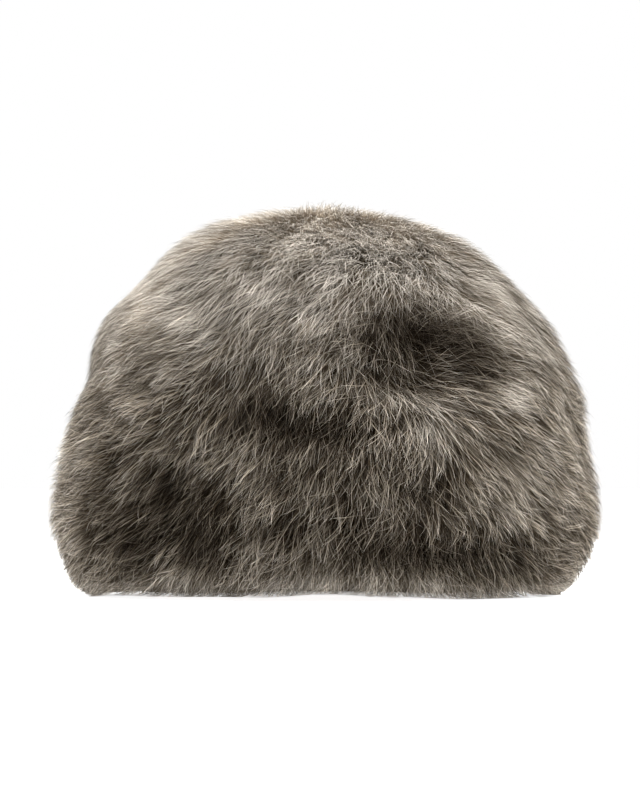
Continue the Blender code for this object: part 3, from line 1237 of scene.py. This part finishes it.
class HairPiece:
    """Hairs as one mesh of narrow ribbons that end in a point.

    On the bake map each hair has a cell of its own, with a margin, and the cells are sorted by
    tone, so that neighbours are alike.
    """

    margin = 0.12
    strand_weight = 0.3

    def __init__(self, name: str, finishes: list[bpy.types.Material]) -> None:
        """Set up the piece.

        Args:
            name: The piece's name.
            finishes: A material for each kind of hair, in the order they are added.
        """
        self.name = name
        self.finishes = finishes

    def build(self, sets: list[Strands]) -> bpy.types.Object:
        """Build the mesh.

        Args:
            sets: The hairs of each kind.

        Returns:
            The piece, which stands at the origin.
        """
        places, loops, counts, kinds, coats, maps = [], [], [], [], [], []
        total = sum(len(hairs.lines) for hairs in sets)
        cells = math.ceil(math.sqrt(total))
        first_vertex, first_cell = 0, 0
        for kind, hairs in enumerate(sets):
            count, stops = hairs.lines.shape[:2]
            half = hairs.sides[:, None, :] * (hairs.widths[:, :, None] * 0.5)
            both = np.stack((hairs.lines - half, hairs.lines + half), axis=2)
            pairs = both[:, :-1].reshape(count, -1, 3)
            places.append(np.concatenate((pairs, hairs.lines[:, -1:]), axis=1).reshape(-1, 3))
            each = 2 * stops - 1
            pattern = [(2 * i, 2 * i + 1, 2 * i + 3, 2 * i + 2) for i in range(stops - 2)]
            flat = np.array(sum(pattern, ()) + (each - 3, each - 2, each - 1))
            starts = first_vertex + each * np.arange(count)
            loops.append((starts[:, None] + flat).ravel())
            counts.append(np.tile([4] * (stops - 2) + [3], count))
            kinds.append(np.full((stops - 1) * count, kind))
            along = np.append(np.repeat(hairs.along[:-1], 2), hairs.along[-1])
            coats.append(self._coat(hairs, along))
            looks = hairs.tone + self.strand_weight * hairs.strand
            order = first_cell + np.argsort(np.argsort(looks))
            maps.append(self._map(order, cells, along, flat))
            first_vertex += each * count
            first_cell += count
        mesh = self._mesh(*map(np.concatenate, (places, loops, counts, kinds)))
        coat = mesh.attributes.new("coat", "FLOAT_COLOR", "POINT")
        coat.data.foreach_set("color", np.concatenate(coats).astype(np.float32).ravel())
        layer = mesh.uv_layers.new(name="OFBake")
        layer.uv.foreach_set("vector", np.concatenate(maps).astype(np.float32).ravel())
        piece = bpy.data.objects.new(self.name, mesh)
        bpy.context.scene.collection.objects.link(piece)
        return piece

    def _mesh(
        self, places: np.ndarray, loops: np.ndarray, counts: np.ndarray, kinds: np.ndarray
    ) -> bpy.types.Mesh:
        """Make a mesh.

        Args:
            places: Its points.
            loops: The points of its faces, one face after the other.
            counts: How many points each face has.
            kinds: Which finish each face has.

        Returns:
            The mesh.
        """
        mesh = bpy.data.meshes.new(self.name)
        mesh.vertices.add(len(places))
        mesh.vertices.foreach_set("co", places.astype(np.float32).ravel())
        mesh.loops.add(len(loops))
        mesh.loops.foreach_set("vertex_index", loops.astype(np.int32))
        mesh.polygons.add(len(counts))
        mesh.polygons.foreach_set("loop_start", (np.cumsum(counts) - counts).astype(np.int32))
        for finish in self.finishes:
            mesh.materials.append(finish)
        mesh.polygons.foreach_set("material_index", kinds.astype(np.int32))
        mesh.update(calc_edges=True)
        mesh.shade_smooth()
        return mesh

    def _coat(self, hairs: Strands, along: np.ndarray) -> np.ndarray:
        """Work out what the finish reads at each vertex.

        Args:
            hairs: The hairs.
            along: Each vertex's place along its hair, from 0 to 1.

        Returns:
            Rows of the place on the colours, the hair's own value, its shade with its painted shade
            and light, and 1.
        """
        fill = hairs.fill[:, None]
        darkness = np.clip((TONING.fade_under - hairs.tone) / TONING.fade_under, 0.0, 1.0)
        fade = TONING.fade * darkness[:, None]
        values = np.ones((len(hairs.lines), len(along), 4))
        values[:, :, 0] = (1.0 - (1.0 - along[None, :]) * (1.0 - fill)) * (1.0 - fade)
        values[:, :, 1] = hairs.strand[:, None]
        values[:, :, 2] = hairs.tone[:, None]
        return values.reshape(-1, 4)

    def _map(
        self, order: np.ndarray, cells: int, along: np.ndarray, flat: np.ndarray
    ) -> np.ndarray:
        """Lay the hairs out on the bake map.

        Args:
            order: Each hair's cell.
            cells: How many cells the map has on a side.
            along: Each vertex's place along its hair, from 0 to 1.
            flat: The vertices of a hair's faces, one face after the other.

        Returns:
            Rows of places on the map, one for each corner of a face.
        """
        cell = np.stack((order % cells, order // cells), axis=1)[:, None, :] / cells
        side = np.array([0.0, 1.0] * (len(along) // 2) + [0.5])
        within = np.stack((side, along), axis=1) * (1.0 - 2.0 * self.margin) + self.margin
        return (cell + within[None, flat, :] / cells).reshape(-1, 2)


# Pelts


@dataclass(frozen=True)
class Stretch:
    """A stretch of an outline: the heights of its ends, and how many rows it has."""

    top: float
    bottom: float
    rows: int


class TurnedWall:
    """A wall turned about the hat's middle and settled into its place."""

    least_reach = 1e-5

    def __init__(self, form: HatForm, steps: int) -> None:
        """Set up the wall.

        Args:
            form: The hat's form.
            steps: How many steps go round.
        """
        self.form = form
        self.steps = steps

    def line(self, share: float, stretch: Stretch) -> np.ndarray:
        """Take part of the form's outline at a share of the pile's depth.

        Args:
            share: 0 on the pelt, and 1 at the hair tips.
            stretch: The part, by its heights on the pelt or on the outline.

        Returns:
            Rows of reach, height and share.
        """
        outer = self.form.outer if share > 0.0 else self.form.pelt
        ends = np.interp((-stretch.top, -stretch.bottom), -outer[:, 1], run_along(outer))
        stops = np.linspace(*ends, stretch.rows)
        reach = np.interp(stops, run_along(outer), outer[:, 0])
        height = np.interp(stops, run_along(outer), outer[:, 1])
        points = np.stack((reach, np.zeros(stretch.rows), height), axis=1)
        shares = np.full(stretch.rows, share)
        if share > 0.0:
            points = self.form.snap(points, shares)
        return np.stack((points[:, 0], points[:, 2], shares), axis=1)

    def build(self, name: str, profile: np.ndarray, finish: bpy.types.Material) -> bpy.types.Object:
        """Turn a closed profile.

        Args:
            name: The piece's name.
            profile: Rows of reach, height and share, that start and end on the axis or meet.
            finish: The wall's material.

        Returns:
            The piece, which stands at the origin.
        """
        steps, rows = self.steps, len(profile)
        heading = np.repeat(np.arange(steps) * math.tau / steps, rows)
        reach, height, share = np.tile(profile, (steps, 1)).T
        reach = np.maximum(reach, self.least_reach)
        points = np.stack((reach * np.sin(heading), -reach * np.cos(heading), height), axis=1)
        points = self.form.settle(points, share, self.form.sizes.wall_lump)
        points[:, 2] = np.maximum(points[:, 2], 0.0)
        on_axis = max(profile[0][0], profile[-1][0]) <= self.least_reach
        faces = []
        for step in range(steps):
            here, there = step * rows, (step + 1) % steps * rows
            for row in range(rows - 1 if on_axis else rows):
                below = (row + 1) % rows
                faces.append((here + row, here + below, there + below, there + row))
        mesh = bpy.data.meshes.new(name)
        mesh.from_pydata(points.tolist(), [], faces)
        mesh.materials.append(finish)
        mesh.shade_smooth()
        piece = bpy.data.objects.new(name, mesh)
        bpy.context.scene.collection.objects.link(piece)
        return piece


UNDERCOAT = PatchyFinish(
    name="undercoat",
    dark=(0.006, 0.0042, 0.0024),
    pale=(0.014, 0.0100, 0.0060),
    patch_scale=90.0,
    grain_scale=900.0,
    grain_height=0.0008,
    roughness=0.90,
    sheen=0.0,
)
SUEDE = PatchyFinish(
    name="tanned_skin",
    dark=(0.400, 0.265, 0.160),
    pale=(0.520, 0.370, 0.240),
    patch_scale=35.0,
    grain_scale=2600.0,
    grain_height=0.0002,
    roughness=0.88,
    sheen=0.25,
)
GUARD_FINISH = HairFinish(
    name="guard_hair",
    shades=(
        Shade(0.00, (0.006, 0.0040, 0.0021)),
        Shade(0.40, (0.026, 0.0184, 0.0108)),
        Shade(0.74, (0.125, 0.1060, 0.0820)),
        Shade(1.00, (0.335, 0.3060, 0.2670)),
    ),
    strand_spread=36.0,
    tone_spread=10.0,
    roughness=0.55,
    shine=0.03,
)
DOWN_FINISH = HairFinish(
    name="down_hair",
    shades=(
        Shade(0.00, (0.004, 0.0026, 0.0013)),
        Shade(0.50, (0.012, 0.0080, 0.0042)),
        Shade(0.82, (0.034, 0.0246, 0.0152)),
        Shade(1.00, (0.116, 0.0945, 0.0705)),
    ),
    strand_spread=8.0,
    tone_spread=30.0,
    roughness=0.75,
    shine=0.0,
)


# Studio


@dataclass(frozen=True)
class Softbox:
    """A large soft light: where it stands, how large and how bright it is."""

    name: str
    place: tuple[float, float, float]
    size: float
    power: float


class Studio:
    """The floor, room, lights and camera.

    The first value of a glow is the light it gives the hat, and the second is what the camera sees.
    """

    floor_size = 12.0
    floor_colour = (0.86, 0.86, 0.86, 1.0)
    floor_roughness = 0.9
    floor_glow = (0.30, 0.92)
    room_glow = (0.22, 1.0)
    aim = Vector((-0.0023, 0.0, 0.0897))
    elevation = 0.0
    distance = 5.00
    lens = 492.3
    lights = (
        Softbox("overhead", (0.10, -0.15, 1.60), 1.60, 66.0),
        Softbox("left", (-1.50, -0.60, 0.90), 1.20, 5.0),
        Softbox("right", (1.50, -0.70, 1.00), 1.20, 6.0),
        Softbox("behind", (0.0, 1.60, 0.90), 1.60, 40.0),
    )

    def build(self) -> None:
        """Build it all."""
        self._floor()
        self._room()
        for light in self.lights:
            self._light(light)
        self._camera()

    def _floor(self) -> None:
        """Build a wide pale floor, which isn't part of the hat."""
        bpy.ops.mesh.primitive_plane_add(size=self.floor_size)
        floor = bpy.context.object
        floor.name = "floor"
        material, tree, shader = new_material("pale_floor")
        shader.inputs["Base Color"].default_value = self.floor_colour
        shader.inputs["Roughness"].default_value = self.floor_roughness
        shader.inputs["Emission Color"].default_value = (1.0, 1.0, 1.0, 1.0)
        path = tree.nodes.new("ShaderNodeLightPath")
        strength = scaled(tree, path.outputs["Is Camera Ray"], *self.floor_glow)
        tree.links.new(strength, shader.inputs["Emission Strength"])
        floor.data.materials.append(material)

    def _room(self) -> None:
        """Build a white room that gives less light than it shows."""
        world = bpy.data.worlds.new("room")
        bpy.context.scene.world = world
        world.use_nodes = True
        tree = world.node_tree
        back = tree.nodes["Background"]
        back.inputs["Color"].default_value = (1.0, 1.0, 1.0, 1.0)
        path = tree.nodes.new("ShaderNodeLightPath")
        strength = scaled(tree, path.outputs["Is Camera Ray"], *self.room_glow)
        tree.links.new(strength, back.inputs["Strength"])

    def _light(self, softbox: Softbox) -> None:
        """Set up a softbox, turned to the hat.

        Args:
            softbox: Its place, size and power.
        """
        lamp = bpy.data.lights.new(softbox.name, "AREA")
        lamp.size = softbox.size
        lamp.energy = softbox.power
        light = bpy.data.objects.new(softbox.name, lamp)
        light.location = softbox.place
        light.rotation_euler = (self.aim - light.location).to_track_quat("-Z", "Y").to_euler()
        light.visible_camera = False
        bpy.context.scene.collection.objects.link(light)

    def _camera(self) -> None:
        """Set up the camera at the photograph's angle."""
        data = bpy.data.cameras.new("camera")
        data.lens = self.lens
        camera = bpy.data.objects.new("camera", data)
        tilt = math.radians(self.elevation)
        back = Vector((0.0, -math.cos(tilt), math.sin(tilt)))
        camera.location = self.aim + back * self.distance
        camera.rotation_euler = (-back).to_track_quat("-Z", "Y").to_euler()
        bpy.context.scene.collection.objects.link(camera)
        bpy.context.scene.camera = camera
        bpy.context.scene.view_settings.view_transform = "Standard"


# The hat


class FurHat:
    """The whole hat: its leather, undercoat and hair."""

    sectors = {Region.CROWN: ("front", "back"), Region.BAND: ("front", "right", "back", "left")}

    def __init__(self, sizes: HatSizes) -> None:
        """Set up the hat.

        Args:
            sizes: Its sizes.
        """
        self.form = HatForm(sizes)
        self.combing = Combing(self.form, swirl=16.0, hold=0.06)
        self.wall = TurnedWall(self.form, steps=96)

    def build_leather(self) -> list[bpy.types.Object]:
        """Build the leather side of both pelts.

        Returns:
            The two pieces.
        """
        sizes = self.form.sizes
        suede = SUEDE.material()
        seam = sizes.seam_height
        stretches = {
            "crown_skin": Stretch(sizes.pelt[0].height, seam + sizes.clearance, rows=12),
            "band_skin": Stretch(seam, sizes.skin_hem, rows=14),
        }
        pieces = []
        for node, stretch in stretches.items():
            outside = self.wall.line(0.0, stretch)
            inside = outside[::-1].copy()
            slope = np.gradient(inside[:, :2], axis=0)
            slope /= np.linalg.norm(slope, axis=1)[:, None]
            inside[:, 0] -= slope[:, 1] * sizes.skin_thickness
            inside[:, 1] += slope[:, 0] * sizes.skin_thickness
            inside[:, 1] = np.clip(inside[:, 1], stretch.bottom, None)
            if node == "crown_skin":
                inside[-1, 0] = 0.0
            piece = self.wall.build(f"{node}_leather", np.vstack((outside, inside)), suede)
            pieces.append(self._fit(piece, node))
        return pieces

    def build_undercoat(self) -> list[bpy.types.Object]:
        """Build the dense underfur that the hair grows out of.

        Returns:
            The two pieces.
        """
        sizes = self.form.sizes
        finish = UNDERCOAT.material()
        seam, mouth, gap = sizes.seam_height, sizes.seam_mouth_height, sizes.half_seam_gap
        stretches = {
            "crown_fur": (
                Stretch(sizes.undercoat_top, mouth + gap, rows=16),
                Stretch(sizes.pelt[0].height, seam + 2.0 * gap, rows=16),
            ),
            "band_fur": (
                Stretch(mouth - gap, sizes.undercoat_hem, rows=18),
                Stretch(seam - sizes.clearance, sizes.undercoat_hem, rows=18),
            ),
        }
        pieces = []
        for node, (outer, inner) in stretches.items():
            outside = self.wall.line(sizes.undercoat_share, outer)
            back = self.wall.line(0.0, inner)[::-1].copy()
            back[:, 0] += sizes.clearance
            back[:, 2] = sizes.undercoat_back_share
            if node == "crown_fur":
                back[:, 1] += sizes.clearance
                back[-1, 0] = 0.0
                outside[0, 0] = 0.0
            piece = self.wall.build(f"{node}_undercoat", np.vstack((outside, back)), finish)
            pieces.append(self._fit(piece, node))
        return pieces

    def build_hair(self, region: Region, seed: int) -> list[bpy.types.Object]:
        """Grow one pelt's hair.

        Args:
            region: The pelt.
            seed: The seed of all that is random in it.

        Returns:
            One piece for each sector round the hat.
        """
        coat = Coat(self.form, self.combing, region, seed)
        finishes = [GUARD_FINISH.material(), DOWN_FINISH.material()]
        sets = [coat.grow(GUARD_HAIR), coat.grow(DOWN_HAIR)]
        names = self.sectors[region]
        pieces = []
        for index, name in enumerate(names):
            parts = []
            for hairs in sets:
                heading = np.arctan2(hairs.lines[:, 0, 0], -hairs.lines[:, 0, 1])
                sector = np.round(heading / math.tau * len(names)).astype(int) % len(names)
                parts.append(hairs.part(sector == index))
            piece = HairPiece(f"{region.value}_hair_{name}", finishes).build(parts)
            pieces.append(self._fit(piece, f"{region.value}_fur"))
        return pieces

    def _fit(self, piece: bpy.types.Object, node: str) -> bpy.types.Object:
        """Tie a piece to the frame, in place of one of its solids.

        Args:
            piece: The piece.
            node: The solid's node.

        Returns:
            The piece.
        """
        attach(piece, "root")
        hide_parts(node)
        return piece


def triangles(piece: bpy.types.Object) -> int:
    """Count a piece's triangles.

    Args:
        piece: The piece.

    Returns:
        How many it has.
    """
    return len(piece.data.loops) - 2 * len(piece.data.polygons)


def main() -> None:
    """Build the hat and the studio around it."""
    logging.basicConfig(level=logging.INFO, format="%(name)s: %(message)s")
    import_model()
    hat = FurHat(HatSizes())
    pieces = hat.build_leather() + hat.build_undercoat()
    pieces += hat.build_hair(Region.CROWN, seed=21) + hat.build_hair(Region.BAND, seed=22)
    for piece in pieces:
        LOG.info("%s has %d triangles", piece.name, triangles(piece))
    LOG.info("%d triangles in all", sum(map(triangles, pieces)))
    Studio().build()


if __name__ == "__main__":
    main()
